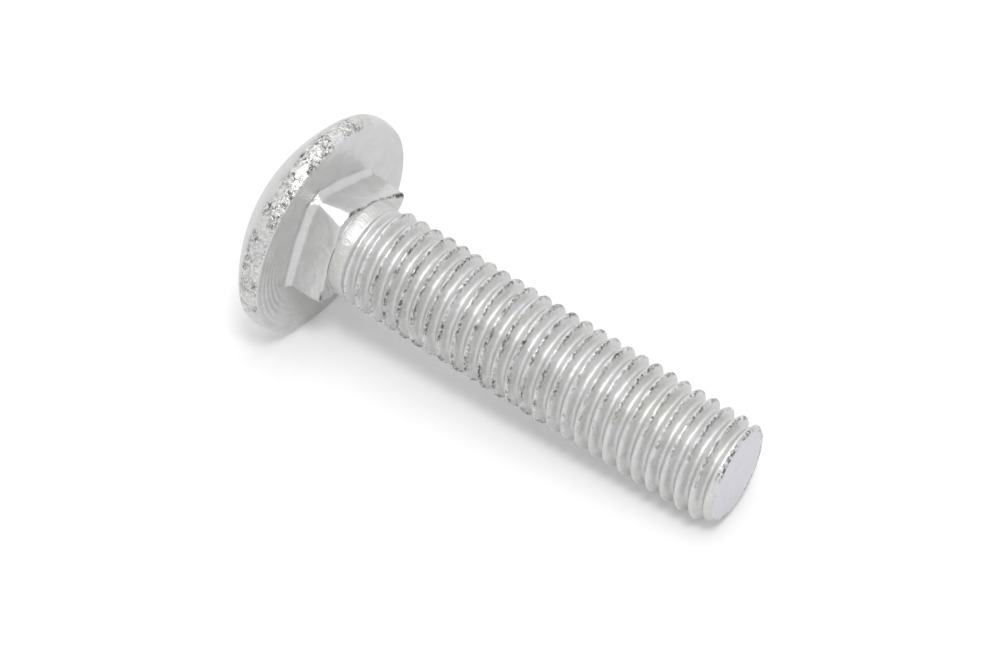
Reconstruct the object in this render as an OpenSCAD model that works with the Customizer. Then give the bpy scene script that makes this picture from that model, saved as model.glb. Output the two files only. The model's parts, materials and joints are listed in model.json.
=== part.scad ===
// Cup head square neck bolt, M10 coarse thread, nominal length 45 mm.
// A domed head with a round rim sits on a short square neck, which stops the bolt
// turning in timber. The shank below it is threaded nearly up to the neck.
// The bolt lies on its side, as it comes to rest on a table: the head's rim and
// the end of the thread touch the table, and the shank slopes down from the head.

/* [Shank and thread] */
// Length under the head, from the bearing ring to the middle of the flat end
under_head_l = 44.2; // [30:0.1:80]
// Diameter over the thread's crests
thread_d = 9.8; // [9:0.05:12]
// Thread pitch, over which the thread rises to its full height
pitch = 1.5; // [1:0.05:2]
// Diameter of the rolled blank, which the thread rises from
blank_d = 8.85; // [8:0.05:9.6]
// Diameter of the flat end
end_d = 8.1; // [6.5:0.1:9.6]
// Length of the bevel between the last crest and the flat end
end_bevel_l = 1.1; // [0.8:0.1:1.8]
// Lean of the sheared end, in degrees out of square
end_lean = 4.8; // [0:0.2:6]
// Turn from the neck's first flat to the side where the sheared end reaches furthest
end_lean_turn = 144; // [-180:1:180]

/* [Head] */
// Diameter of the head over its rim
head_d = 21.5; // [18:0.1:28]
// Height of the head, from the bearing ring to the top of the dome
head_h = 6.1; // [5:0.1:8]
// Thickness of the head where the dome meets the rim
rim_t = 2.1; // [1.8:0.05:2.6]
// Radius of the rim's rounded edge, seen in section
rim_r = 2.4; // [2.1:0.1:3]
// Height of the rim's widest line above the bearing ring
rim_wide_h = 1.1; // [0.8:0.05:1.4]
// Width of the flat ring that bears on the timber, inside the rim
bearing_w = 1; // [0.5:0.1:2]
// Depth of the shallow dish inside the bearing ring
dish_depth = 0.5; // [0.1:0.05:0.8]

/* [Square neck] */
// Width of the neck across its flats
neck_w = 9.15; // [8:0.05:12]
// Depth of the neck, from the bearing ring to its shoulder
neck_l = 3.15; // [2:0.05:6]
// Radius of the neck's four long edges
neck_edge_r = 0.3; // [0.1:0.05:0.8]
// Radius of the hollow fillet where the neck grows out of the head
neck_fillet_r = 0.7; // [0.3:0.05:1]
// What the trimming cone takes off the radius of a corner, at the shoulder
corner_trim = 0.15; // [0.1:0.05:0.8]
// Taper of the trimming cone, as radius lost for each millimetre of depth
trim_slope = 0.22; // [0.1:0.02:0.4]
// How far the trimming cone is struck off centre, away from one corner
trim_offset = 0.5; // [0:0.05:0.6]

/* [Collar] */
// Height of the barrel-shaped collar over the blank, where it leaves the shoulder
collar_swell = 0.27; // [0.1:0.01:0.4]
// Length of the collar, from the shoulder to the first trace of thread
collar_l = 1.3; // [0.8:0.1:1.8]

/* [Lie] */
// Turn of the neck about the bolt's axis, from the place with two flats level
neck_roll = 162; // [-180:1:180]

/* [Hidden] */
$fn = 96;

weld = 0.3;                                   // how far joined forms run into each other

rim_mid_r = head_d / 2 - rim_r;               // middle of the rim's round section
bearing_r = rim_mid_r + sqrt(pow(rim_r, 2) - pow(rim_wide_h, 2));
dome_edge_r = rim_mid_r + sqrt(pow(rim_r, 2) - pow(rim_t - rim_wide_h, 2));
dome_rise = head_h - rim_t;
dome_r = (pow(dome_edge_r, 2) + pow(dome_rise, 2)) / (2 * dome_rise);

flat_w = neck_w - 2 * neck_edge_r;            // straight part of each side of the neck
corner_r = flat_w / sqrt(2) + neck_edge_r;    // from the axis out to a corner
neck_base = -dish_depth;                      // where the neck leaves the dish

thread_r = thread_d / 2;
blank_r = blank_d / 2;
collar_r = blank_r + collar_swell;
collar_arc_r = (pow(collar_l, 2) + pow(collar_swell, 2)) / (2 * collar_swell);
collar_end = neck_l + collar_l;
thread_start = collar_end + pitch;            // full height one pitch after the collar
thread_end = under_head_l - end_bevel_l;

// The table touches the round rim and the last crest. Seen from the side the rim is a
// circle, the last crest is a point, and the table is the line that touches both.
rest_run = thread_end + rim_wide_h;
rest_drop = rim_mid_r - thread_r;
rest_tilt = atan2(rest_drop, rest_run) + asin(rim_r / norm([rest_run, rest_drop]));
bearing_z = thread_end * sin(rest_tilt) + thread_r * cos(rest_tilt);
dome_back_x = (dome_r - head_h) * cos(rest_tilt) - dome_r;

// Foremost point of the sheared end's edge, which is taken as a circle of end_d
end_reach = end_d / 2 * tan(end_lean);
end_long_side = end_lean_turn + neck_roll;
end_rise = end_d / 2 * sin(rest_tilt) - end_reach * cos(end_long_side) * cos(rest_tilt);
end_side = end_reach * sin(end_long_side) * cos(rest_tilt);
end_front_x = under_head_l * cos(rest_tilt) + norm([end_rise, end_side]);
middle_x = (dome_back_x + end_front_x) / 2;

// Radius of the trimming cone at a height on the bolt's axis
function trim_r(y) = corner_r - corner_trim + (neck_l - y) * trim_slope;

// Lays the bolt down. Upright, its axis is Z, with the bearing ring at zero, the dome
// below and the shank above. Lying, the head is at -X and the flat end at +X.
module lay_down() {
    translate([-middle_x, 0, bearing_z])
        rotate([0, 90 + rest_tilt, 0])
            rotate([0, 0, neck_roll])
                children();
}

// Half section of the head: a slab with a round rim, cut to the circle of the dome
// and hollowed by the dish
module head_section() {
    difference() {
        intersection() {
            union() {
                translate([0, -head_h])
                    square([rim_mid_r, head_h]);
                translate([0, -head_h])
                    square([dome_edge_r, head_h - rim_wide_h]);
                translate([rim_mid_r, -rim_wide_h])
                    circle(r = rim_r);
            }
            translate([0, dome_r - head_h])
                circle(r = dome_r);
            translate([0, -head_h])
                square([head_d, head_h]);
        }
        polygon([
            [0, neck_base], [neck_w / 2, neck_base], [bearing_r - bearing_w, 0],
            [bearing_r - bearing_w, rim_r], [0, rim_r]
        ]);
    }
}

module head() {
    rotate_extrude()
        head_section();
}

// Section of the neck: a square with rounded corners
module neck_section() {
    square([neck_w, flat_w], center = true);
    square([flat_w, neck_w], center = true);
    for (sx = [-1, 1], sy = [-1, 1])
        translate([sx, sy] * flat_w / 2)
            circle(r = neck_edge_r);
}

// The neck's corners are trimmed by a cone, which leaves each a long pointed facet that
// widens towards the shoulder. The cone is struck a little off centre, so the facet
// is largest on one corner and smallest on the one across from it.
module neck() {
    base = neck_base - weld;
    intersection() {
        translate([0, 0, base])
            linear_extrude(neck_l - base)
                neck_section();
        translate([-trim_offset, -trim_offset, 0] / sqrt(2))
            translate([0, 0, base])
                cylinder(r1 = trim_r(base), r2 = trim_r(neck_l), h = neck_l - base);
    }
}

// Section of the hollow fillet: the corner between a wall and the face it stands on
module fillet_section() {
    difference() {
        translate([-weld, -weld])
            square(neck_fillet_r + weld);
        translate([neck_fillet_r, neck_fillet_r])
            circle(r = neck_fillet_r);
    }
}

// The fillet runs straight along each flat and turns round each rounded corner
module neck_fillet() {
    for (side = [0 : 3])
        rotate([0, 0, 90 * side]) {
            translate([neck_w / 2, flat_w / 2, neck_base])
                rotate([90, 0, 0])
                    linear_extrude(flat_w)
                        fillet_section();
            translate([flat_w / 2, flat_w / 2, neck_base])
                rotate_extrude(angle = 90)
                    intersection() {
                        translate([neck_edge_r, 0])
                            fillet_section();
                        translate([0, -weld])
                            square(neck_w);
                    }
        }
}

// Barrel-shaped collar, from the neck's shoulder down to the blank
module collar() {
    rotate_extrude()
        intersection() {
            translate([0, neck_l - weld])
                square([collar_r, collar_l + weld]);
            union() {
                translate([collar_r - collar_arc_r, neck_l])
                    circle(r = collar_arc_r);
                translate([0, neck_l - weld])
                    square([blank_r, collar_l + weld]);
            }
        }
}

// What the shear takes off: a block past the end, leaning out of square
module sheared_off() {
    translate([0, 0, under_head_l])
        rotate([0, 0, end_lean_turn])
            rotate([0, -end_lean, 0])
                translate([-thread_d, -thread_d, 0])
                    cube([2 * thread_d, 2 * thread_d, thread_d]);
}

// Threaded length, solid out to the crests: it rises from the blank over one pitch
// and ends in a bevel, which the shear cuts off a little out of square
module thread() {
    translate([0, 0, collar_end])
        cylinder(r1 = blank_r, r2 = thread_r, h = pitch);
    translate([0, 0, thread_start])
        cylinder(r = thread_r, h = thread_end - thread_start);
    bevel_slope = (thread_r - end_d / 2) / end_bevel_l;
    bevel_l = end_bevel_l + 2 * end_reach;
    difference() {
        translate([0, 0, thread_end])
            cylinder(r1 = thread_r, r2 = thread_r - bevel_slope * bevel_l, h = bevel_l);
        sheared_off();
    }
}

module bolt() {
    color("silver")
        lay_down() {
            head();
            neck();
            neck_fillet();
            collar();
            thread();
        }
}

bolt();
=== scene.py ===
import json
import math

import bmesh
import bpy
from mathutils import Matrix, Vector, noise


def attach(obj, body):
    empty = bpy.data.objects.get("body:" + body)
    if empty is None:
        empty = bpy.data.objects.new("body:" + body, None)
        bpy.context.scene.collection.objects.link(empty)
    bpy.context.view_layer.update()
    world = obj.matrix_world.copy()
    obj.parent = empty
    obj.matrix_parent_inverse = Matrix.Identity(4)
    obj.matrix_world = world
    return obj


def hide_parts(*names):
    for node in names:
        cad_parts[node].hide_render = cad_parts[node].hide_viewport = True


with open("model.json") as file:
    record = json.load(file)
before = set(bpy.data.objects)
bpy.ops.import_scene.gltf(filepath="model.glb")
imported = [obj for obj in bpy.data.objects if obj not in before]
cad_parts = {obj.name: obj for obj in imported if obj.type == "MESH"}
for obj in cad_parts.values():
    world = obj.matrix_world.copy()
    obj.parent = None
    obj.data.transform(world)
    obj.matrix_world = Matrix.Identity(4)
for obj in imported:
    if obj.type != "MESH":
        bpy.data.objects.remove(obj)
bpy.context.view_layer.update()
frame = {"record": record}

# A galvanised cup head square neck bolt, lying on a pale floor with its head's rim and
# the end of its thread touching it. Lengths are in millimetres until the finished bolt
# is laid down, in metres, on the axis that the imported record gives.
MM = 0.001
TAU = 2 * math.pi

# Directions round the bolt are turns from its upper side towards the near side.
# The bearing ring, under the head, is at height zero, and the shank is above it. These
# are the neck's corners, on round the bolt from the one with the big facet.
BIG_FACET, LOW_CORNER, BACK_CORNER, FAR_CORNER = (math.radians(a) for a in (27, 117, 207, 297))
LEAN = math.radians(7.566)   # slope of the lying bolt, from head to end

# Head
HEAD_H = 6.09
RIM_T = 2.1
RIM_WIDE_H = 1.1
RIM_WIDE_R = 10.746
RIM_R = 2.4
RIM_EDGE = 0.35          # rounding between dome and rim, measured on the dome
RIM_EDGE_SHARE = 0.7     # how much of that it takes off the rim's height
RIM_DENT = 0.05          # depth of the hollows in the rim's crinkled zinc
RIM_DENTS = 1.7          # how closely they sit, for each millimetre
UNDER_EDGE = 0.16        # rounding between the rim and the bearing ring
BEARING_R = 10.483
BEARING_W = 1.0
DOME_EDGE_R = 10.532
DOME_R = 15.865
DISH_DEPTH = 0.5
DISH_BLEND = 0.08        # rounding between the bearing ring and the dish

# Forging rings, faint grooves on the underside
GROOVE_DEPTH = 0.055
GROOVE_SPACING = 0.57
GROOVES_FROM = 7.9       # distance out to the flat between two of them
FADE_IN = (7.2, 8.0)     # distances out between which they begin and end
FADE_OUT = (10.15, 10.4)
CLEAREST = math.radians(85)
CLEAREST_SPREAD = 0.9
FAINTEST = 0.3           # share of their depth that is left away from the clearest side

# Neck and collar
NECK_W = 9.15
NECK_L = 3.15
NECK_EDGE_R = 0.3
FILLET_R = 0.66
FILLET_FLATNESS = 0.6    # 0 for a round fillet, 1 for a plain bevel
FILLET_FLARE = 0.35      # how much wider the fillet is at the corner with the big facet
FLARE_SPREAD = 0.16
FILLET_BLEND = 0.05      # rounding between the fillet and the underside
CORNER_TRIM = 0.15
TRIM_SLOPE = 0.22
TRIM_OFFSET = 0.5
TRIM_BLEND = 0.06        # rounding between the flats and the trimmed corners
LIPS = [(FAR_CORNER, 0.34, 0.8), (LOW_CORNER, 0.3, 0.3)]   # direction, spread, height
EDGE_LIFT = 0.6          # share of a lip's height that the shoulder's outer edge has
SHOULDER_EDGE = 0.1
WANDER = 0.05            # how ragged the shoulder's outer edge is
WANDER_LOOP = 4.4, 6.0   # radius and height of its path through the noise
BLANK_R = 4.425
COLLAR_R = 4.695
COLLAR_L = 1.3
COLLAR_END = NECK_L + COLLAR_L

# Thread and end
CREST_R = 4.9
ROOT_R = 4.1
PITCH = 1.5
CREST_W = 0.25
CREST_AT = 7.63          # height of a crest on the bolt's upper side
HOLLOW_H = 0.5           # how far above the root its painted shade reaches
BEVEL_START = 43.1
BEVEL_L = 1.1
BEVEL_LIFT = 0.12        # the bevel is struck off centre, and leaves more of the last thread
BEVEL_SHIFT = 0.3        # standing on one side
BEVEL_SIDE = math.radians(40)
END_R = 4.05
END_LEAN = math.tan(math.radians(4.8))
END_LONG_SIDE = math.radians(126)
END_EDGE = 0.12
END_WAVE = 0.02          # how far from flat the sheared face is
END_WAVE_RATE = 1.1      # radians of its wave for each millimetre across the face
END_WAVE_SIDE = 0.7      # direction that the wave runs in
END_WAVE_START = 0.6
LENGTH = 44.17
NEAR_END = LENGTH - 5    # past this height only the thread's end is open

# Faces round the bolt, and how strongly they crowd together at the neck's four corners
AROUND = 176
CROWDING = 0.55

# Rings of faces in each form, rows in a turn of thread, and shares of the end's radius
DOME_RINGS = 26
RIM_EDGE_RINGS = 5
RIM_RINGS = 10
ROUNDING_RINGS = 3
UNDER_RINGS = 34
FILLET_RINGS = 8
NECK_RINGS = 20
SHOULDER_RINGS = 8
COLLAR_RINGS = 10
ROWS_A_TURN = 14
END_RINGS = (0.93, 0.85, 0.74, 0.62, 0.5, 0.38, 0.26, 0.13)
SEWN = 0.002             # points nearer than this become one

# Patches of crinkled zinc: direction and width in degrees, and strength
RIM_PATCHES = [
    (22, 30, 1.0), (70, 22, 0.52), (100, 20, 0.45), (-14, 5, 0.6), (-27, 4, 0.55),
    (-42, 2, 0.4), (212, 12, 0.5), (262, 16, 0.6), (286, 5, 0.5),
]
SHOULDER_PATCHES = [
    (10, 16, 1.0), (-18, 24, 1.0), (-52, 20, 1.0), (-75, 12, 0.8), (117, 9, 0.7),
    (62, 5, 0.3), (205, 14, 0.7), (245, 10, 0.5),
]
END_EDGE_PATCHES = [(44, 11, 0.5), (95, 38, -0.6)]
END_FACE_PATCHES = [(-120, 60, 0.6)]

# How strong they are on each form, and what the end's edge has where there is no patch
ON_DOME_EDGE = 0.5
ON_RIM = 0.8
MORE_AT_RIM_EDGES = 0.35
LESS_EACH_UNDER_RING = 0.2
BELOW_SHOULDER = 0.8
ON_SHOULDER_EDGE = 1.5
PAST_SHOULDER_EDGE = 1.2
ON_END_EDGE = 0.75


def add(tree, kind, inputs=None, out=0, **settings):
    """Adds a node with its settings, fills or links its inputs, and gives one output."""
    made = tree.nodes.new(kind)
    for name, value in settings.items():
        setattr(made, name, value)
    for name, value in (inputs or {}).items():
        if isinstance(value, bpy.types.NodeSocket):
            tree.links.new(value, made.inputs[name])
        else:
            made.inputs[name].default_value = value
    return made.outputs[out] if made.outputs else made


def srgb(code):
    """Linear colour of an sRGB hex code."""
    parts = [int(code[i:i + 2], 16) / 255 for i in (1, 3, 5)]
    linear = [c / 12.92 if c <= 0.04045 else ((c + 0.055) / 1.055) ** 2.4 for c in parts]
    return (*linear, 1)


def apart(a, b):
    """How far one direction is from another, without its sign."""
    return abs((a - b + math.pi) % TAU - math.pi)


def hump(distance, width):
    """A round hump, 1 in its middle."""
    return math.exp(-(distance / width) ** 2)


def smooth_step(low, high, x):
    """Climbs softly from 0 at one value to 1 at another."""
    t = min(1, max(0, (x - low) / (high - low)))
    return t * t * (3 - 2 * t)


def soft_min(a, b, blend):
    """The smaller of two, with the corner between them rounded off."""
    h = max(blend - abs(a - b), 0) / blend
    return min(a, b) - h ** 3 * blend / 6


def soft_max(a, b, blend):
    """The larger of two, with the corner between them filled in."""
    return -soft_min(-a, -b, blend)


def rounding(radius):
    """Steps round a quarter circle: how far in, and how far short of its end, each is."""
    for k in range(1, ROUNDING_RINGS + 1):
        a = math.pi / 2 * k / ROUNDING_RINGS
        yield radius * (1 - math.cos(a)), radius * (1 - math.sin(a))


def in_patches(turn, patches, elsewhere=0.0):
    """How crinkled the zinc is in a direction, by its patches and what it has elsewhere."""
    return sum((much * hump(apart(turn, math.radians(where)), math.radians(wide))
                for where, wide, much in patches), elsewhere)


def crinkled(patches, strength):
    """A rule that gives the crinkled zinc of a ring by direction."""
    return lambda turn: strength * min(1, in_patches(turn, patches))


# ---- the head, neck and collar, ring by ring ------------------------------------------

def column_turn(i):
    """Direction of a column of faces."""
    even = TAU * i / AROUND
    return even - CROWDING / 4 * math.sin(4 * (even - BIG_FACET))


TURNS = [column_turn(i) for i in range(AROUND)]


def neck_outline(turn, grown=0.0):
    """Distance out to the rounded square of the neck, grown outwards evenly."""
    edge_r = NECK_EDGE_R + grown
    half = NECK_W / 2 + grown
    corner = half - edge_r
    off = abs((turn - BIG_FACET + math.pi / 4) % (math.pi / 2) - math.pi / 4)
    to_flat = math.pi / 4 - off
    if math.tan(to_flat) * half <= corner:
        return half / math.cos(to_flat)
    reach = corner * math.sqrt(2)
    return reach * math.cos(off) + math.sqrt(edge_r ** 2 - (reach * math.sin(off)) ** 2)


def trim_cone(turn, height):
    """Distance out to the off-centre cone that trims the neck's corners."""
    corner_r = (NECK_W / 2 - NECK_EDGE_R) * math.sqrt(2) + NECK_EDGE_R
    cone_r = corner_r - CORNER_TRIM + (NECK_L - height) * TRIM_SLOPE
    off = turn - BACK_CORNER
    across = TRIM_OFFSET * math.sin(off)
    return TRIM_OFFSET * math.cos(off) + math.sqrt(cone_r ** 2 - across ** 2)


def neck_r(turn, height, grown=0.0):
    """Distance out to the neck, with its flats and trimmed corners."""
    return soft_min(neck_outline(turn, grown), trim_cone(turn, height), TRIM_BLEND)


def fillet(turn):
    """Size of the fillet between the underside and the neck."""
    return FILLET_R + FILLET_FLARE * hump(apart(turn, BIG_FACET), FLARE_SPREAD)


def lip(turn):
    """How far the shoulder is drawn up the shank at the two corners that kept a lip."""
    return sum(high * hump(apart(turn, corner), spread) for corner, spread, high in LIPS)


def shoulder_h(turn):
    """Height of the shoulder's outer edge, which is a little ragged."""
    loop_r, loop_h = WANDER_LOOP
    spot = Vector((loop_r * math.cos(turn), loop_r * math.sin(turn), loop_h))
    return NECK_L + EDGE_LIFT * lip(turn) + WANDER * noise.noise(spot)


def shoulder_r(turn):
    """Distance out to the neck at the shoulder's outer edge."""
    return neck_r(turn, min(shoulder_h(turn), NECK_L))


def underside(r, turn):
    """Height of the head's underside: bearing ring, shallow dish and forging rings."""
    inner_r = BEARING_R - BEARING_W
    slope = DISH_DEPTH / (inner_r - NECK_W / 2)
    height = soft_min(0, (r - inner_r) * slope, DISH_BLEND)
    strength = FAINTEST + (1 - FAINTEST) * hump(apart(turn, CLEAREST), CLEAREST_SPREAD)
    inside = smooth_step(*FADE_IN, r) * (1 - smooth_step(*FADE_OUT, r))
    wave = 0.5 - 0.5 * math.cos(TAU * (r - GROOVES_FROM) / GROOVE_SPACING)
    return height - GROOVE_DEPTH * strength * inside * wave


def barrel_r(height):
    """Distance out to the barrel-shaped collar."""
    t = (height - NECK_L) / COLLAR_L
    return COLLAR_R - (COLLAR_R - BLANK_R) * min(1, max(0, t)) ** 2


def rim_out(height):
    """Distance out to the round section of the rim."""
    return RIM_WIDE_R - RIM_R + math.sqrt(RIM_R ** 2 - (height + RIM_WIDE_H) ** 2)


def rim_dent(turn, height):
    """Small hollows in the crinkled zinc of the rim."""
    spot = Vector((RIM_WIDE_R * math.cos(turn), RIM_WIDE_R * math.sin(turn), height))
    edge = 1 - ((height + RIM_T / 2) / (RIM_T / 2)) ** 2
    uneven = 0.5 + noise.noise(spot * RIM_DENTS)
    return RIM_DENT * max(0, edge) * crinkled(RIM_PATCHES, 1.0)(turn) * uneven


rings = []   # each the places and the crinkled zinc for each column, and the die's streaks


def ring(place, wrinkle=lambda turn: 0.0, streaks=0.0):
    """Adds a ring, from rules that give its (distance out, height) and zinc by direction."""
    rings.append(([place(turn) for turn in TURNS], [wrinkle(turn) for turn in TURNS], streaks))


def last_place():
    """Where the last ring is in the first column."""
    places, _, _ = rings[-1]
    return places[0]


def dome_rings():
    """The dome, from near its pole out to the rounding."""
    middle_h = DOME_R - HEAD_H
    edge_angle = math.asin((DOME_EDGE_R - RIM_EDGE) / DOME_R)
    for k in range(1, DOME_RINGS + 1):
        a = edge_angle * k / DOME_RINGS
        ring(lambda turn: (DOME_R * math.sin(a), middle_h - DOME_R * math.cos(a)))


def rim_rings():
    """The rounding between dome and rim, the rim, and the rounding under it."""
    dome_r, dome_h = last_place()
    top_h = -RIM_T + RIM_EDGE * RIM_EDGE_SHARE
    top_r = rim_out(top_h)
    for k in range(1, RIM_EDGE_RINGS + 1):
        t = k / RIM_EDGE_RINGS
        r = (1 - t) ** 2 * dome_r + 2 * t * (1 - t) * DOME_EDGE_R + t ** 2 * top_r
        h = (1 - t) ** 2 * dome_h + 2 * t * (1 - t) * -RIM_T + t ** 2 * top_h
        ring(lambda turn: (r, h), crinkled(RIM_PATCHES, ON_DOME_EDGE * t))
    for k in range(1, RIM_RINGS + 1):
        h = top_h + (-UNDER_EDGE - top_h) * k / RIM_RINGS
        off_middle = 2 * k / RIM_RINGS - 1
        ring(lambda turn: (rim_out(h) - rim_dent(turn, h), h),
             crinkled(RIM_PATCHES, ON_RIM + MORE_AT_RIM_EDGES * off_middle ** 2))
    low_r = rim_out(-UNDER_EDGE)
    for k, (inwards, short) in enumerate(rounding(UNDER_EDGE), start=1):
        ring(lambda turn: (low_r - inwards, -short),
             crinkled(RIM_PATCHES, ON_RIM - LESS_EACH_UNDER_RING * k))


def underside_rings():
    """The underside of the head, in to the foot of the fillet."""
    outer, _ = last_place()
    for k in range(1, UNDER_RINGS + 1):
        t = k / UNDER_RINGS

        def place(turn):
            inner = neck_outline(turn, fillet(turn))
            r = outer + (inner - outer) * t
            return r, underside(r, turn)
        ring(place)


def fillet_rings():
    """The hollow fillet, from the underside up to the neck."""
    for k in range(1, FILLET_RINGS + 1):
        t = k / FILLET_RINGS
        a = math.pi / 2 * (1 - t)
        outwards = 1 - math.cos(a) + FILLET_FLATNESS * (math.cos(a) - t)
        upwards = 1 - math.sin(a) + FILLET_FLATNESS * (t - 1 + math.sin(a))

        def place(turn):
            grown = fillet(turn) * outwards
            foot_h = underside(neck_outline(turn, grown), turn)
            h = soft_max(foot_h, -DISH_DEPTH + fillet(turn) * upwards, FILLET_BLEND)
            return neck_r(turn, h, grown), h
        ring(place)


def neck_rings():
    """The flats and trimmed corners, up to the shoulder's edge."""
    for k in range(1, NECK_RINGS + 1):
        t = k / NECK_RINGS

        def place(turn):
            low = -DISH_DEPTH + fillet(turn)
            h = low + (shoulder_h(turn) - SHOULDER_EDGE - low) * t
            return neck_r(turn, min(h, NECK_L)), h
        ring(place, crinkled(SHOULDER_PATCHES, BELOW_SHOULDER if k == NECK_RINGS else 0.0))


def shoulder_rings():
    """The torn edge of the shoulder, and the shoulder in to the collar."""
    for inwards, short in rounding(SHOULDER_EDGE):
        ring(lambda turn: (shoulder_r(turn) - inwards, shoulder_h(turn) - short),
             crinkled(SHOULDER_PATCHES, ON_SHOULDER_EDGE))
    for k in range(1, SHOULDER_RINGS + 1):
        t = k / SHOULDER_RINGS

        def place(turn):
            low, top = shoulder_h(turn), NECK_L + lip(turn)
            start = shoulder_r(turn) - SHOULDER_EDGE
            r = start + (barrel_r(top) - start) * t
            return r, low + (top - low) * (1 - (1 - t) ** 3)
        ring(place, crinkled(SHOULDER_PATCHES, PAST_SHOULDER_EDGE if k == 1 else 0.0))


def collar_rings():
    """The collar, streaked by the die, down to the blank that the thread is rolled on."""
    for k in range(1, COLLAR_RINGS + 1):
        t = k / COLLAR_RINGS

        def place(turn):
            start = NECK_L + lip(turn)
            h = start + (COLLAR_END - start) * t
            return barrel_r(h), h
        ring(place, streaks=1 - t ** 4)


dome_rings()
rim_rings()
underside_rings()
fillet_rings()
neck_rings()
shoulder_rings()
collar_rings()


# ---- the threaded length, from its rule ----------------------------------------------

FIRST_TURN = math.floor((COLLAR_END - CREST_AT) / PITCH) - 1
TURNS_OF_THREAD = math.ceil((LENGTH + END_R * END_LEAN - CREST_AT) / PITCH) - FIRST_TURN

THREAD_SIZES = {
    "Crest radius": CREST_R,
    "Root radius": ROOT_R,
    "Blank radius": BLANK_R,
    "Pitch": PITCH,
    "Crest width": CREST_W,
    "Crest rounding": 0.2,
    "Root rounding": 0.24,
    "Crest height": CREST_AT,
    "Start": COLLAR_END,
    "Full from": COLLAR_END + 1.0,
    "Bevel start": BEVEL_START,
    "Bevel slope": (CREST_R - END_R) / BEVEL_L,
    "Bevel rounding": 0.4,
    "Bevel lift": BEVEL_LIFT,
    "Bevel shift": BEVEL_SHIFT,
    "Bevel side": BEVEL_SIDE,
    "Length": LENGTH,
    "End radius": END_R,
    "End lean": END_LEAN,
    "End long side": END_LONG_SIDE,
    "End edge": END_EDGE,
    "First turn": float(FIRST_TURN),
    "Turns": float(TURNS_OF_THREAD),
    "Corner turn": BIG_FACET,
    # nicks in the crests, where the noise is under a level
    "Nick depth": 0.03,
    "Nick width": 0.3,
    "Nick level": 0.62,
    "Nick steepness": 6.0,
    # the strip of crinkled zinc, and how far past the crest its middle is
    "Strip place": 0.13,
    "Strip width": 0.13,
    # the side that keeps it all along, and how the side across from that loses it
    "Crinkled side": math.radians(-10),
    "Spared from": 22.0,
    "Spared to": 34.0,
    "Spared slope": -1.6,
    "Least crinkled": 0.1,
    # the first turns after the collar, which have less of it
    "Few from": COLLAR_END + 1.0,
    "Few to": COLLAR_END + 6.0,
    "Fewest": 0.45,
}
FLANK = math.tan(math.radians(60))   # a flank's rise for each millimetre along the axis
ROW_CROWDING = 0.5                   # how strongly the rows crowd at crests and roots
NICK_NOISE = {"Scale": 1.6, "Detail": 3.0}   # what makes the nicks in the crests
NOISE_R = 5                          # radius of the cylinder their noise is taken on

# Each step is a name, an operation and its terms: numbers, sizes and earlier steps.
PLACE_STEPS = (
    # the column's direction, as in column_turn
    ("even", "MULTIPLY_ADD", "x", TAU, math.pi),
    ("from corner", "SUBTRACT", "even", "Corner turn"),
    ("quadruple", "MULTIPLY", "from corner", 4),
    ("wave", "SINE", "quadruple"),
    ("turn", "MULTIPLY_ADD", "wave", -CROWDING / 4, "even"),
    ("turns", "DIVIDE", "turn", TAU),
    ("cosine", "COSINE", "turn"),
    ("sine", "SINE", "turn"),
    # the row's height, which climbs by one pitch in a turn
    ("row", "ADD", "y", 0.5),
    ("pitches", "MULTIPLY_ADD", "row", "Turns", "First turn"),
    ("row angle", "MULTIPLY", "pitches", 2 * TAU),
    ("row wave", "SINE", "row angle"),
    ("spaced", "MULTIPLY_ADD", "row wave", -ROW_CROWDING / (2 * TAU), "pitches"),
    ("climbed", "ADD", "spaced", "turns"),
    ("free height", "MULTIPLY_ADD", "climbed", "Pitch", "Crest height"),
    # the sheared end, a plane that leans
    ("off long side", "SUBTRACT", "turn", "End long side"),
    ("towards", "COSINE", "off long side"),
    ("lean", "MULTIPLY", "towards", "End lean"),
    ("cone", "MULTIPLY_ADD", "lean", "Bevel slope", 1),
    ("off bevel side", "SUBTRACT", "turn", "Bevel side"),
    ("towards bevel side", "COSINE", "off bevel side"),
    ("bevel more", "MULTIPLY_ADD", "towards bevel side", "Bevel shift", "Bevel lift"),
    ("end r", "ADD", "End radius", "bevel more"),
    ("end out", "DIVIDE", "end r", "cone"),
    ("end height", "MULTIPLY_ADD", "lean", "end out", "Length"),
    ("top", "SUBTRACT", "end height", "End edge"),
    ("above start", "MAXIMUM", "free height", "Start"),
    ("height", "MINIMUM", "above start", "top"),
)
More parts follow.
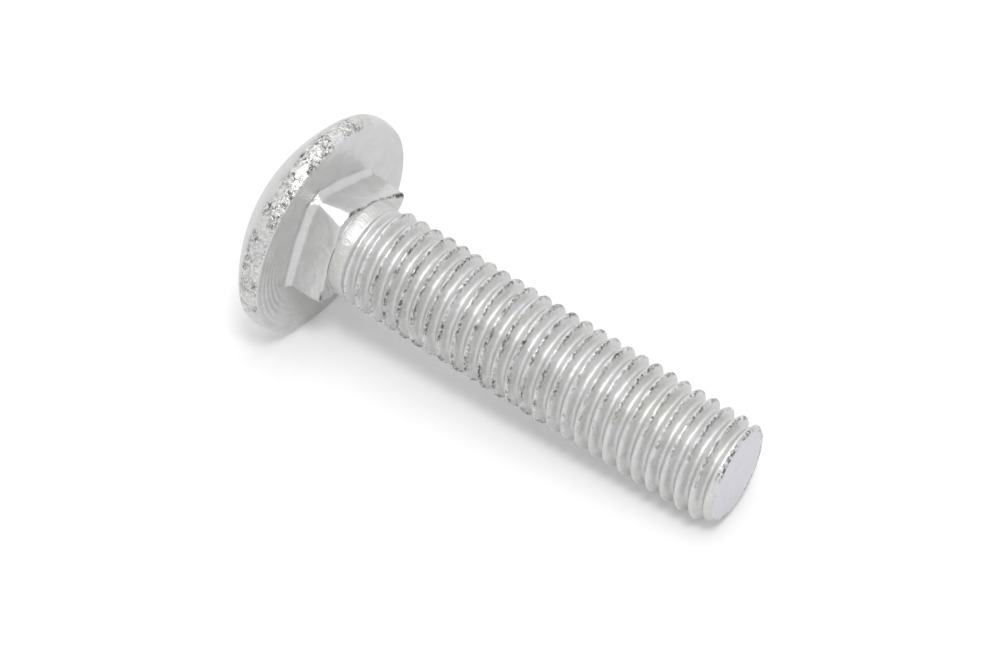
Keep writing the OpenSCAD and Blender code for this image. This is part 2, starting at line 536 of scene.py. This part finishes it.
FORM_STEPS = (
    # distance from the nearest crest line along the axis, plus towards the end
    ("over", "SUBTRACT", "height", "Crest height"),
    ("over in pitches", "DIVIDE", "over", "Pitch"),
    ("phase", "SUBTRACT", "over in pitches", "turns"),
    ("half on", "ADD", "phase", 0.5),
    ("part", "FRACT", "half on"),
    ("centred", "SUBTRACT", "part", 0.5),
    ("from crest", "MULTIPLY", "centred", "Pitch"),
    ("distance", "ABSOLUTE", "from crest"),
    # the rolled profile: two flanks, a rounded crest and a rounded root
    ("apex", "MULTIPLY_ADD", "Crest width", FLANK / 2, "Crest radius"),
    ("flank", "MULTIPLY_ADD", "distance", -FLANK, "apex"),
    ("crested", "SMOOTH_MIN", "Crest radius", "flank", "Crest rounding"),
    ("formed", "SMOOTH_MAX", "crested", "Root radius", "Root rounding"),
    # it rises from the blank
    ("rise", "SMOOTHSTEP", "height", "Start", "Full from"),
    ("over blank", "SUBTRACT", "formed", "Blank radius"),
    ("thread r", "MULTIPLY_ADD", "over blank", "rise", "Blank radius"),
    # nicks along the crests
    ("off crest", "DIVIDE", "distance", "Nick width"),
    ("squared", "POWER", "off crest", 2),
    ("minus", "MULTIPLY", "squared", -1),
    ("near crest", "EXPONENT", "minus"),
    ("nick place", "MULTIPLY", "near crest", "rise"),
    ("nick", "MULTIPLY", "nick place", "Nick depth"),
    ("noise off", "SUBTRACT", "noise", "Nick level"),
    ("noise in", "MINIMUM", "noise off", 0),
    ("cut", "MULTIPLY", "noise in", "Nick steepness"),
    ("nicked", "MULTIPLY_ADD", "nick", "cut", "thread r"),
    # the bevel at the end
    ("past bevel", "SUBTRACT", "height", "Bevel start"),
    ("bevel drop", "MULTIPLY", "past bevel", "Bevel slope"),
    ("bevel top", "ADD", "Crest radius", "bevel more"),
    ("bevel r", "SUBTRACT", "bevel top", "bevel drop"),
    ("out", "SMOOTH_MIN", "nicked", "bevel r", "Bevel rounding"),
    ("x out", "MULTIPLY", "cosine", "out"),
    ("y out", "MULTIPLY", "sine", "out"),
    # the strip along the crest, a little past its top, where the zinc is crinkled
    ("past crest", "SUBTRACT", "from crest", "Strip place"),
    ("strip off", "DIVIDE", "past crest", "Strip width"),
    ("strip squared", "POWER", "strip off", 2),
    ("strip minus", "MULTIPLY", "strip squared", -1),
    ("strip", "EXPONENT", "strip minus"),
    ("strip on", "MULTIPLY", "strip", "rise"),
    # less of it on the near and lower side towards the end, and on the first turns
    ("to end", "SMOOTHSTEP", "height", "Spared from", "Spared to"),
    ("off upper", "SUBTRACT", "turn", "Crinkled side"),
    ("upper", "COSINE", "off upper"),
    ("lower", "MULTIPLY_ADD", "upper", -0.5, 0.5),
    ("spared", "MULTIPLY", "lower", "to end"),
    ("left", "MULTIPLY_ADD", "spared", "Spared slope", 1),
    ("left at least", "MAXIMUM", "left", "Least crinkled"),
    ("crinkled all along", "MULTIPLY", "strip on", "left at least"),
    ("from start", "SMOOTHSTEP", "height", "Few from", "Few to", "Fewest"),
    ("crinkled", "MULTIPLY", "crinkled all along", "from start"),
)


def thread_tree(material):
    """Builds the node tree of the thread: a grid wound round the axis by the rule."""
    tree = bpy.data.node_groups.new("rolled thread", "GeometryNodeTree")
    face = tree.interface
    face.new_socket("Geometry", in_out="INPUT", socket_type="NodeSocketGeometry")
    for name in THREAD_SIZES:
        face.new_socket(name, in_out="INPUT", socket_type="NodeSocketFloat")
    for name in ("Columns", "Rows"):
        face.new_socket(name, in_out="INPUT", socket_type="NodeSocketInt")
    face.new_socket("Geometry", in_out="OUTPUT", socket_type="NodeSocketGeometry")
    given = tree.nodes.new("NodeGroupInput").outputs
    value = {name: given[name] for name in THREAD_SIZES}

    position = add(tree, "GeometryNodeInputPosition")
    on_grid = add(tree, "ShaderNodeSeparateXYZ", {0: position}).node.outputs
    value["x"], value["y"] = on_grid["X"], on_grid["Y"]

    def work(steps):
        for name, operation, *terms in steps:
            inputs = {i: value.get(term, term) for i, term in enumerate(terms)}
            if operation == "SMOOTHSTEP":
                made = add(tree, "ShaderNodeMapRange", inputs, interpolation_type=operation)
            else:
                made = add(tree, "ShaderNodeMath", inputs, operation=operation)
            value[name] = made

    work(PLACE_STEPS)
    direction = add(tree, "ShaderNodeCombineXYZ",
                    {0: value["cosine"], 1: value["sine"], 2: value["height"]})
    scaled = add(tree, "ShaderNodeVectorMath", {0: direction, 1: (NOISE_R, NOISE_R, 1)},
                 operation="MULTIPLY")
    value["noise"] = add(tree, "ShaderNodeTexNoise", {"Vector": scaled, **NICK_NOISE},
                         out="Fac")
    work(FORM_STEPS)
    # the thread's roots, where the finish paints shade
    value["hollow"] = add(tree, "ShaderNodeMapRange", {
        "Value": value["out"], "From Min": ROOT_R, "From Max": ROOT_R + HOLLOW_H,
        "To Min": 1.0, "To Max": 0.0,
    })

    made = add(tree, "GeometryNodeMeshGrid", {
        "Size X": 1.0, "Size Y": 1.0,
        "Vertices X": given["Columns"], "Vertices Y": given["Rows"],
    }, out="Mesh")
    for mark, name in (("crinkle", "crinkled"), ("hollow", "hollow")):
        made = add(tree, "GeometryNodeStoreNamedAttribute", {
            "Geometry": made, "Name": mark, "Value": value[name],
        }, data_type="FLOAT", domain="POINT")
    place = add(tree, "ShaderNodeCombineXYZ",
                {0: value["x out"], 1: value["y out"], 2: value["height"]})
    made = add(tree, "GeometryNodeSetPosition", {"Geometry": made, "Position": place})
    made = add(tree, "GeometryNodeMergeByDistance", {"Geometry": made, "Distance": SEWN})
    made = add(tree, "GeometryNodeRealizeInstances", {"Geometry": made})
    made = add(tree, "GeometryNodeSetMaterial", {"Geometry": made, "Material": material})
    add(tree, "NodeGroupOutput", {0: made})
    return tree


def plain_mesh(tree, sizes):
    """Runs a node tree on an empty mesh with its sizes set, and gives the plain mesh."""
    holder = bpy.data.objects.new("maker", bpy.data.meshes.new("maker"))
    bpy.context.scene.collection.objects.link(holder)
    modifier = holder.modifiers.new("rule", "NODES")
    modifier.node_group = tree
    for item in tree.interface.items_tree:
        if item.in_out == "INPUT" and item.name in sizes:
            modifier[item.identifier] = sizes[item.name]
    shown = holder.evaluated_get(bpy.context.evaluated_depsgraph_get())
    mesh = bpy.data.meshes.new_from_object(shown)
    holder.modifiers.remove(modifier)
    bpy.data.objects.remove(holder)
    return mesh


# ---- the finish ----------------------------------------------------------------------

def galvanised_steel():
    """Hot-dip galvanised steel, satin: pale grey zinc with a soft sheen, and crinkled,
    broken flakes with dark specks between them where the zinc froze on sharp edges."""
    material = bpy.data.materials.new("galvanised_steel")
    material.use_nodes = True
    tree = material.node_tree
    tree.nodes.clear()

    # what the mesh tells: where the zinc is crinkled, which face was sheared, what the
    # die has drawn, and the roots of the thread
    rough_edge, sheared, die_drawn, root = (
        add(tree, "ShaderNodeAttribute", out="Fac", attribute_name=name)
        for name in ("crinkle", "sheared", "drawn", "hollow"))

    # in millimetres, with X along the bolt's axis
    place = add(tree, "ShaderNodeTexCoord", out="Object")
    in_mm = add(tree, "ShaderNodeMapping", {
        "Vector": place, "Rotation": (0, -LEAN, 0), "Scale": (1 / MM, 1 / MM, 1 / MM),
    })
    shortened, drawn_out = (
        add(tree, "ShaderNodeVectorMath", {0: in_mm, 1: (along, 1, 1)}, operation="MULTIPLY")
        for along in (2.0, 0.3))

    # the zinc's patterns, whose scale is how often they repeat in a millimetre
    cloud, patch, grain, speck, foil, runs, streak = (
        add(tree, "ShaderNodeTexNoise", {"Vector": vector, **pattern}, out="Fac")
        for vector, pattern in (
            (in_mm, {"Scale": 0.7, "Detail": 4.0}),
            (in_mm, {"Scale": 0.55, "Detail": 2.0}),
            (in_mm, {"Scale": 6.0, "Detail": 5.0}),
            (shortened, {"Scale": 3.0, "Detail": 4.0, "Roughness": 0.6}),
            (in_mm, {"Scale": 3.0, "Detail": 3.0, "Roughness": 0.6, "Distortion": 1.0}),
            (in_mm, {"Scale": 1.3, "Detail": 3.0}),
            (drawn_out, {"Scale": 3.5, "Detail": 3.0}),
        ))

    # crinkled zinc comes in patches a few millimetres across
    patchy = add(tree, "ShaderNodeMapRange", {
        "Value": patch, "From Min": 0.4, "From Max": 0.6, "To Min": 0.35, "To Max": 1.15,
    }, interpolation_type="SMOOTHSTEP")
    crinkle = add(tree, "ShaderNodeMath", {0: rough_edge, 1: patchy}, operation="MULTIPLY")
    marked, flaky = (
        add(tree, "ShaderNodeMapRange", {"Value": crinkle, "From Min": low, "From Max": high},
            interpolation_type="SMOOTHSTEP")
        for low, high in ((0.05, 0.35), (0.35, 0.8)))

    # specks: dark where the noise passes a threshold that drops as the zinc gets rougher,
    # and faint on plain zinc
    threshold, drop, faintest = 0.66, 0.19, 0.15
    reach = add(tree, "ShaderNodeMath", {0: crinkle, 1: drop, 2: -threshold},
                operation="MULTIPLY_ADD")
    over = add(tree, "ShaderNodeMath", {0: speck, 1: reach}, operation="ADD")
    dark = add(tree, "ShaderNodeMapRange", {
        "Value": over, "From Min": -0.02, "From Max": 0.05,
    }, interpolation_type="SMOOTHSTEP")
    faint = add(tree, "ShaderNodeMath", {0: marked, 1: faintest}, operation="MAXIMUM")
    specks = add(tree, "ShaderNodeMath", {0: dark, 1: faint}, operation="MULTIPLY")
    deep = add(tree, "ShaderNodeMapRange", {"Value": over, "From Min": 0.02, "From Max": 0.13})

    # thin dark creases between the flakes, where the foil's pattern is halfway
    off_crease = add(tree, "ShaderNodeMath", {0: foil, 1: -0.5}, operation="ADD")
    from_crease = add(tree, "ShaderNodeMath", {0: off_crease}, operation="ABSOLUTE")
    crease = add(tree, "ShaderNodeMapRange", {
        "Value": from_crease, "From Min": 0.004, "From Max": 0.03,
        "To Min": 0.75, "To Max": 0.0,
    })
    creases = add(tree, "ShaderNodeMath", {0: crease, 1: flaky}, operation="MULTIPLY")

    # painted shade darkens the thread's roots, and the drawn collar is a little duller
    shade_in_roots, along_collar = 0.25, 0.4
    on_collar = add(tree, "ShaderNodeMath", {0: die_drawn, 1: along_collar},
                    operation="MULTIPLY")
    root_shade_and_duller_collar = add(tree, "ShaderNodeMath", {0: root, 1: shade_in_roots, 2: on_collar},
                 operation="MULTIPLY_ADD")

    # the plain zinc, the flakes and the dirt, each between two shades
    cloudy = add(tree, "ShaderNodeMapRange", {"Value": cloud, "From Min": 0.3, "From Max": 0.7})
    flake = add(tree, "ShaderNodeMapRange", {"Value": foil, "From Min": 0.4, "From Max": 0.6})
    zinc, flakes, dirt = (
        add(tree, "ShaderNodeMix", {"Factor": much, "A": srgb(first), "B": srgb(second)},
            out="Result", data_type="RGBA")
        for much, first, second in (
            (cloudy, "#cacac6", "#d6d6d9"),
            (flake, "#a6a6a3", "#dedede"),
            (deep, "#8e8e8b", "#4c4c4a"),
        ))
    # and what lies over the plain zinc, from the lowest up; the pale lavender on the sheared
    # face is a painted reflection
    colour = zinc
    for much, over_it in (
            (sheared, srgb("#cfced5")), (root_shade_and_duller_collar, srgb("#b4b4b0")), (marked, flakes),
            (creases, srgb("#6f6f6c")), (specks, dirt)):
        colour = add(tree, "ShaderNodeMix", {"Factor": much, "A": colour, "B": over_it},
                     out="Result", data_type="RGBA")

    # smoother where it is crinkled, and rougher where the die has drawn it
    roughness = add(tree, "ShaderNodeMapRange", {
        "Value": cloud, "From Min": 0.3, "From Max": 0.7, "To Min": 0.32, "To Max": 0.44,
    })
    for where, change in ((marked, -0.12), (die_drawn, 0.14)):
        roughness = add(tree, "ShaderNodeMath", {0: where, 1: change, 2: roughness},
                        operation="MULTIPLY_ADD")

    # runs that break up long highlights, the die's streaks along the collar, fine grain
    # and crumpled flakes: strength, depth in millimetres and pattern of each
    streaked = add(tree, "ShaderNodeMath", {0: streak, 1: die_drawn}, operation="MULTIPLY")
    crumpled = add(tree, "ShaderNodeMath", {0: foil, 1: crinkle}, operation="MULTIPLY")
    relief = {}
    for strength, depth, pattern in (
            (0.8, 0.12, runs), (0.9, 0.12, streaked), (0.3, 0.03, grain),
            (1.0, 0.12, crumpled)):
        relief["Normal"] = add(tree, "ShaderNodeBump", {
            "Strength": strength, "Distance": depth * MM, "Height": pattern, **relief,
        })

    shader = add(tree, "ShaderNodeBsdfPrincipled", {
        "Base Color": colour, "Metallic": 0.6, "Roughness": roughness, **relief,
    })
    add(tree, "ShaderNodeOutputMaterial", {"Surface": shader})
    return material


ZINC = galvanised_steel()


# ---- the bolt, put together ----------------------------------------------------------

def forged_part(bm, crinkle, drawn):
    """The rings of head, neck and collar, with the dome's pole closed by a fan."""
    rows = []
    for places, wrinkles, streaks in rings:
        row = []
        for turn, (r, h), wrinkle in zip(TURNS, places, wrinkles):
            vert = bm.verts.new((r * math.cos(turn), r * math.sin(turn), h))
            vert[crinkle] = wrinkle
            vert[drawn] = streaks
            row.append(vert)
        rows.append(row)
    pole = bm.verts.new((0, 0, -HEAD_H))
    for i in range(AROUND):
        j = (i + 1) % AROUND
        bm.faces.new((pole, rows[0][i], rows[0][j]))
        for low, high in zip(rows, rows[1:]):
            bm.faces.new((low[i], low[j], high[j], high[i]))


def end_height(r, turn):
    """Height of the sheared face, which leans and isn't quite flat."""
    wave = math.sin(END_WAVE_RATE * r * math.cos(turn - END_WAVE_SIDE) + END_WAVE_START)
    return LENGTH + END_LEAN * r * math.cos(turn - END_LONG_SIDE) + END_WAVE * wave


def sheared_end(bm, crinkle, sheared):
    """Closes the end of the thread: a small rounded edge and the leaning sheared face."""
    before = [v for v in bm.verts
              if v.co.z > NEAR_END and any(e.is_boundary for e in v.link_edges)]
    before.sort(key=lambda v: math.atan2(v.co.y, v.co.x))
    radii = [v.co.xy.length for v in before]
    turns = [math.atan2(v.co.y, v.co.x) for v in before]
    for vert, turn in zip(before, turns):
        vert[crinkle] = in_patches(turn, END_EDGE_PATCHES, ON_END_EDGE)

    # rows of points: how far in and how far short of the face, the share that is left of
    # the way out, the patches of crinkled zinc, and what it has elsewhere
    rows = [(inwards, short, 1, END_EDGE_PATCHES, ON_END_EDGE)
            for inwards, short in rounding(END_EDGE)]
    rows += [(END_EDGE, 0, share, END_FACE_PATCHES if share == END_RINGS[0] else [], 0.0)
             for share in END_RINGS]
    for inwards, short, share, patches, elsewhere in rows:
        row = []
        for out, turn in zip(radii, turns):
            r = (out - inwards) * share
            vert = bm.verts.new((r * math.cos(turn), r * math.sin(turn),
                                 end_height(r, turn) - short))
            vert[crinkle] = in_patches(turn, patches, elsewhere)
            # the flat face is marked for its pale lavender, a painted reflection
            vert[sheared] = float(short == 0)
            row.append(vert)
        for i in range(len(row)):
            j = (i + 1) % len(row)
            bm.faces.new((before[i], before[j], row[j], row[i]))
        before = row
    centre = bm.verts.new((0, 0, end_height(0, 0)))
    centre[sheared] = 1
    for i in range(len(before)):
        bm.faces.new((before[i], before[(i + 1) % len(before)], centre))


def lying():
    """Where the bolt lies: its own up, near side and axis, from the record's mounts."""
    mounts = {m["name"]: m for m in frame["record"]["mounts"]}
    axis = Vector(mounts["thread"]["axis"]).normalized()
    on_axis = Vector(mounts["thread"]["pos_m"])
    ring_place = Vector(mounts["bearing_face"]["pos_m"])
    bearing = on_axis + axis * (ring_place - on_axis).dot(axis)
    near = Vector((0, -1, 0))
    up = near.cross(axis)
    turned = Matrix((up, near, axis)).transposed().to_4x4()
    return Matrix.Translation(bearing) @ turned @ Matrix.Scale(MM, 4)


def galvanised_bolt():
    """The whole bolt, one closed mesh: the thread, its sheared end and the forged part."""
    thread = plain_mesh(thread_tree(ZINC), {
        **THREAD_SIZES, "Columns": AROUND + 1, "Rows": ROWS_A_TURN * TURNS_OF_THREAD + 1,
    })
    bm = bmesh.new()
    bm.from_mesh(thread)
    bpy.data.meshes.remove(thread)
    marks = bm.verts.layers.float
    sheared, drawn = marks.new("sheared"), marks.new("drawn")
    crinkle = marks.get("crinkle")
    sheared_end(bm, crinkle, sheared)
    forged_part(bm, crinkle, drawn)
    bmesh.ops.remove_doubles(bm, verts=bm.verts, dist=SEWN)
    bmesh.ops.recalc_face_normals(bm, faces=bm.faces)
    for f in bm.faces:
        f.smooth = True
    bm.transform(lying())
    mesh = bpy.data.meshes.new("galvanised_bolt")
    bm.to_mesh(mesh)
    bm.free()
    mesh.materials.clear()   # also sends the thread's faces back to the first slot
    mesh.materials.append(ZINC)
    piece = bpy.data.objects.new("galvanised_bolt", mesh)
    bpy.context.scene.collection.objects.link(piece)
    return piece


bolt = galvanised_bolt()
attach(bolt, "root")
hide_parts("bolt")


# ---- floor, light and camera, in metres ----------------------------------------------

def seen_directly(tree):
    """1 for what the camera sees, also in metal and through glass, and 0 for other light."""
    ray = add(tree, "ShaderNodeLightPath").node.outputs
    seen = ray["Is Camera Ray"]
    for kind in ("Is Glossy Ray", "Is Transmission Ray"):
        seen = add(tree, "ShaderNodeMath", {0: seen, 1: ray[kind]}, operation="MAXIMUM")
    return seen


def white_card():
    """A matt white card. It takes the bolt's soft shadow, and a faint glow keeps it plain
    white elsewhere."""
    material = bpy.data.materials.new("white_card")
    material.use_nodes = True
    tree = material.node_tree
    tree.nodes.clear()
    faint = 0.18
    lift = add(tree, "ShaderNodeMath", {0: seen_directly(tree), 1: faint}, operation="MULTIPLY")
    matt = add(tree, "ShaderNodeBsdfDiffuse", {"Color": srgb("#ececec")})
    glow = add(tree, "ShaderNodeEmission", {"Color": (1, 1, 1, 1), "Strength": lift})
    both = add(tree, "ShaderNodeAddShader", {0: matt, 1: glow})
    add(tree, "ShaderNodeOutputMaterial", {"Surface": both})
    return material


def white_room():
    """Soft light from all round, at half strength, and plain white where it is seen."""
    room = bpy.data.worlds.new("studio")
    room.use_nodes = True
    tree = room.node_tree
    tree.nodes.clear()
    level = add(tree, "ShaderNodeMath", {0: seen_directly(tree), 1: 0.5, 2: 0.5},
                operation="MULTIPLY_ADD")
    sky = add(tree, "ShaderNodeBackground", {"Color": (1, 1, 1, 1), "Strength": level})
    add(tree, "ShaderNodeOutputWorld", {"Surface": sky})
    return room


def softbox(name, place, aim, size, power):
    """A rectangular soft light that faces a point."""
    data = bpy.data.lights.new(name, "AREA")
    data.shape = "RECTANGLE"
    data.size, data.size_y = size
    data.energy = power
    lamp = bpy.data.objects.new(name, data)
    bpy.context.scene.collection.objects.link(lamp)
    lamp.location = place
    lamp.rotation_euler = (Vector(aim) - Vector(place)).to_track_quat("-Z", "Y").to_euler()


def camera_at(eye, gaze, lens):
    """A camera at a place, which looks in a direction."""
    data = bpy.data.cameras.new("camera")
    data.sensor_width = 36
    data.lens = lens
    data.clip_start = 0.01
    camera = bpy.data.objects.new("camera", data)
    bpy.context.scene.collection.objects.link(camera)
    camera.location = eye
    camera.rotation_euler = gaze.to_track_quat("-Z", "Y").to_euler()
    return camera


bpy.ops.mesh.primitive_plane_add(size=3, location=(0, 0, 0))
floor = bpy.context.object
floor.name = "floor"
floor.data.materials.append(white_card())

softbox("overhead", place=(0.03, -0.05, 0.55), aim=(0.03, -0.05, 0), size=(0.34, 0.45),
        power=0.89)
softbox("fill", place=(-0.25, 0.3, 0.35), aim=(0, 0, 0), size=(0.4, 0.4), power=0.25)
softbox("key", place=(0.2, -0.2, 0.5), aim=(0, 0, 0), size=(0.12, 0.12), power=1.1)

scene = bpy.context.scene
scene.world = white_room()
scene.view_settings.view_transform = "Standard"
scene.camera = camera_at(
    eye=Vector((141.98, -193.51, 223.74)) * MM,
    gaze=Vector((-0.44079, 0.59923, -0.66831)), lens=132.72)
